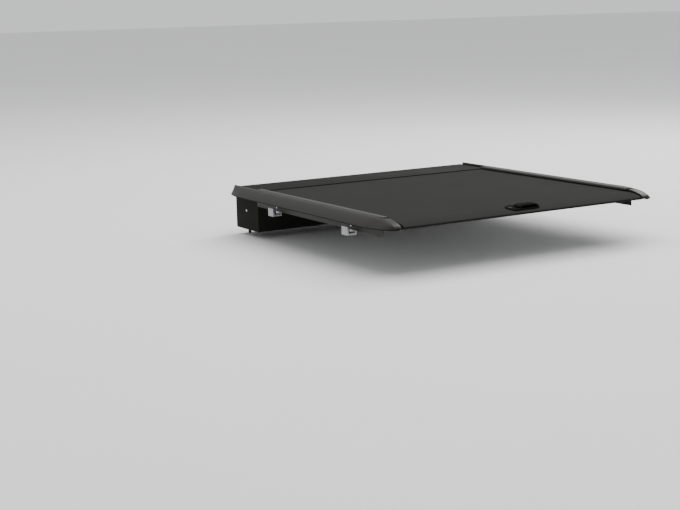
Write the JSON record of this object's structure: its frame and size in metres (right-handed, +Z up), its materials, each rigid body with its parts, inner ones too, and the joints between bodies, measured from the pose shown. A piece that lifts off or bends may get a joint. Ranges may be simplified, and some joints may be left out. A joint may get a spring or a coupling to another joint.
{
  "type": "retractable truck bed tonneau cover",
  "caption": "Retractable roller tonneau cover for a pickup bed, with a vinyl-skinned slat curtain, side rails and caps, a canister and a lift handle.",
  "frame": {"origin": "middle of the cover in plan, on the plane of the bed rails that it sits on", "axes": "+X to the truck's right, +Y forward to the cab, +Z up"},
  "size_m": [1.619, 1.54, 0.2593],
  "materials": {
    "cover_vinyl": "matte grained vinyl, dark grey",
    "coated_aluminium": "fine-texture powder coat, dark grey",
    "slat_aluminium": "satin mill finish",
    "cap_plastic": "moulded grain, satin dark grey",
    "handle_plastic": "satin black",
    "seal_rubber": "matte black",
    "zinc_steel": "zinc plated",
    "lock_metal": "dull chrome",
    "clamp_aluminium": "satin",
    "slide_nylon": "black nylon"
  },
  "bodies": {
    "canister_and_rails": {"vinyl_skin": "cover_vinyl", "curtain_leader": "cover_vinyl", "canister_lid": "coated_aluminium", "canister_floor": "coated_aluminium", "canister_front_wall": "coated_aluminium", "canister_rear_wall": "coated_aluminium", "canister_end_left": "coated_aluminium", "canister_end_right": "coated_aluminium", "guide_rail_left": "coated_aluminium", "guide_rail_right": "coated_aluminium", "bed_cap_left": "cap_plastic", "bed_cap_right": "cap_plastic", "rear_end_cap_left": "cap_plastic", "rear_end_cap_right": "cap_plastic", "front_corner_cap_left": "cap_plastic", "front_corner_cap_right": "cap_plastic", "lid_front_seal": "seal_rubber", "mouth_wiper": "seal_rubber", "cap_gasket_left": "seal_rubber", "cap_gasket_right": "seal_rubber", "roller_axle": "zinc_steel", "lift_spring": "zinc_steel", "spring_anchor": "zinc_steel", "clamp_bolt_left_rear": "zinc_steel", "clamp_bolt_left_front": "zinc_steel", "clamp_bolt_right_rear": "zinc_steel", "clamp_bolt_right_front": "zinc_steel", "rail_clamp_left_rear": "clamp_aluminium", "rail_clamp_left_front": "clamp_aluminium", "rail_clamp_right_rear": "clamp_aluminium", "rail_clamp_right_front": "clamp_aluminium", "slide_strip_left": "slide_nylon", "slide_strip_right": "slide_nylon", "drain_spigot_left": "slide_nylon", "drain_spigot_right": "slide_nylon"},
    "roller": {"roller_tube": "clamp_aluminium", "roller_bearing_left": "slide_nylon", "roller_bearing_right": "slide_nylon"},
    "tail": {"tail_bar": "coated_aluminium", "tail_seal": "seal_rubber", "handle_housing": "handle_plastic", "slat_panel_01": "slat_aluminium", "latch_spring_left": "zinc_steel", "latch_spring_right": "zinc_steel"},
    "lever": {"handle_lever": "handle_plastic"},
    "lock": {"lock_cylinder": "lock_metal"},
    "cam": {"latch_cam": "zinc_steel"},
    "rod_left": {"latch_rod_left": "zinc_steel"},
    "rod_right": {"latch_rod_right": "zinc_steel"},
    "slat_02": {"slat_panel_02": "slat_aluminium"},
    "slat_03": {"slat_panel_03": "slat_aluminium"},
    "slat_04": {"slat_panel_04": "slat_aluminium"},
    "slat_05": {"slat_panel_05": "slat_aluminium"},
    "slat_06": {"slat_panel_06": "slat_aluminium"},
    "slat_07": {"slat_panel_07": "slat_aluminium"},
    "slat_08": {"slat_panel_08": "slat_aluminium"},
    "slat_09": {"slat_panel_09": "slat_aluminium"},
    "slat_10": {"slat_panel_10": "slat_aluminium"}
  },
  "joints": [
    {"name": "cover_slide", "type": "slide", "parent": "canister_and_rails", "child": "tail", "axis": [0, 1, 0], "range_m": [0, 1.124], "deforming": ["vinyl_skin", "curtain_leader", "slat_panel_02", "slat_panel_03", "slat_panel_04", "slat_panel_05", "slat_panel_06", "slat_panel_07", "slat_panel_08", "slat_panel_09", "slat_panel_10"]},
    {"name": "roller_spin", "type": "hinge", "parent": "canister_and_rails", "child": "roller", "pos_m": [0, 0.645, -0.092], "axis": [-1, 0, 0], "range_deg": [0, 1260], "deforming": ["lift_spring"]},
    {"name": "lever_lift", "type": "hinge", "parent": "tail", "child": "lever", "pos_m": [0, -0.68283, 0.02327], "axis": [-1, 0, 0], "range_deg": [0, 32], "stiffness_Nm_per_rad": 0.5, "springref_deg": -5.73},
    {"name": "cam_turn", "type": "hinge", "parent": "tail", "child": "cam", "pos_m": [0, -0.636, 0.0062], "axis": [0, 0, 1], "range_deg": [0, 40]},
    {"name": "rod_left_pull", "type": "slide", "parent": "tail", "child": "rod_left", "axis": [1, 0, 0], "range_m": [0, 0.0105], "deforming": ["latch_spring_left"]},
    {"name": "rod_right_pull", "type": "slide", "parent": "tail", "child": "rod_right", "axis": [-1, 0, 0], "range_m": [0, 0.0105], "deforming": ["latch_spring_right"]},
    {"name": "lock_turn", "type": "hinge", "parent": "tail", "child": "lock", "pos_m": [-0.07, -0.716, 0.01466], "axis": [0, 0.128, -0.9918], "range_deg": [0, 90]},
    {"name": "slat_02_travel", "type": "slide", "parent": "canister_and_rails", "child": "slat_02", "axis": [0, 1, 0], "range_m": [0, 1.001]},
    {"name": "slat_03_travel", "type": "slide", "parent": "canister_and_rails", "child": "slat_03", "axis": [0, 1, 0], "range_m": [0, 0.8776]},
    {"name": "slat_04_travel", "type": "slide", "parent": "canister_and_rails", "child": "slat_04", "axis": [0, 1, 0], "range_m": [0, 0.7542]},
    {"name": "slat_05_travel", "type": "slide", "parent": "canister_and_rails", "child": "slat_05", "axis": [0, 1, 0], "range_m": [0, 0.6307]},
    {"name": "slat_06_travel", "type": "slide", "parent": "canister_and_rails", "child": "slat_06", "axis": [0, 1, 0], "range_m": [0, 0.5072]},
    {"name": "slat_07_travel", "type": "slide", "parent": "canister_and_rails", "child": "slat_07", "axis": [0, 1, 0], "range_m": [0, 0.3838]},
    {"name": "slat_08_travel", "type": "slide", "parent": "canister_and_rails", "child": "slat_08", "axis": [0, 1, 0], "range_m": [0, 0.2604]},
    {"name": "slat_09_travel", "type": "slide", "parent": "canister_and_rails", "child": "slat_09", "axis": [0, 1, 0], "range_m": [0, 0.1369]},
    {"name": "slat_10_travel", "type": "slide", "parent": "canister_and_rails", "child": "slat_10", "axis": [0, 1, 0], "range_m": [0, 0.0135]}
  ],
  "couplings": [
    {"joint": "roller_spin", "follows": "cover_slide", "rad_per_m": 19.56},
    {"joint": "cam_turn", "follows": "lever_lift", "ratio": 1.249},
    {"joint": "rod_left_pull", "follows": "lever_lift", "m_per_rad": 0.0179},
    {"joint": "rod_right_pull", "follows": "lever_lift", "m_per_rad": 0.0179},
    {"joint": "slat_02_travel", "follows": "cover_slide", "ratio": 0.89017},
    {"joint": "slat_03_travel", "follows": "cover_slide", "ratio": 0.78034},
    {"joint": "slat_04_travel", "follows": "cover_slide", "ratio": 0.67051},
    {"joint": "slat_05_travel", "follows": "cover_slide", "ratio": 0.56068},
    {"joint": "slat_06_travel", "follows": "cover_slide", "ratio": 0.45085},
    {"joint": "slat_07_travel", "follows": "cover_slide", "ratio": 0.34101},
    {"joint": "slat_08_travel", "follows": "cover_slide", "ratio": 0.23118},
    {"joint": "slat_09_travel", "follows": "cover_slide", "ratio": 0.12135},
    {"joint": "slat_10_travel", "follows": "cover_slide", "ratio": 0.01152}
  ]
}
